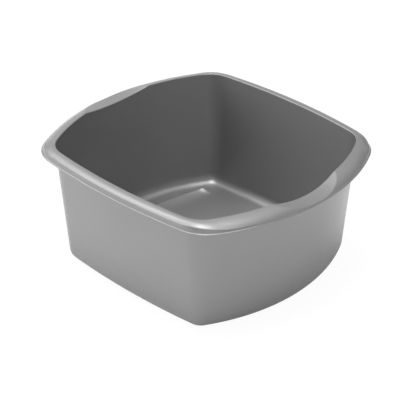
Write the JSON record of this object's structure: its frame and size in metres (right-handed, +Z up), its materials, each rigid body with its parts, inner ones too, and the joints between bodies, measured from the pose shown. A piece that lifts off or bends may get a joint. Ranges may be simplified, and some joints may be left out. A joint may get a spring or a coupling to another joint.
{
  "type": "washing up bowl",
  "caption": "Deep rectangular plastic washing up bowl with bowed ends, rounded corners, a folded rim, a scooped hand grip at each end and raised floor ramps.",
  "frame": {"origin": "centre of the footprint, on the plane that the bowl stands on", "axes": "+X along the length, towards the right bowed end; +Y across, towards the back side; +Z up, out of the mouth"},
  "size_m": [0.3476, 0.3044, 0.15],
  "materials": {
    "silver_plastic": "semi-gloss silver-grey polypropylene with a fine metallic flake"
  },
  "bodies": {
    "root": {"floor_panel": "silver_plastic", "left_floor_ramp": "silver_plastic", "right_floor_ramp": "silver_plastic", "front_wall": "silver_plastic", "back_wall": "silver_plastic", "left_wall": "silver_plastic", "right_wall": "silver_plastic", "front_left_corner": "silver_plastic", "front_right_corner": "silver_plastic", "back_left_corner": "silver_plastic", "back_right_corner": "silver_plastic", "front_rim": "silver_plastic", "back_rim": "silver_plastic", "left_grip": "silver_plastic", "right_grip": "silver_plastic"}
  },
  "joints": []
}
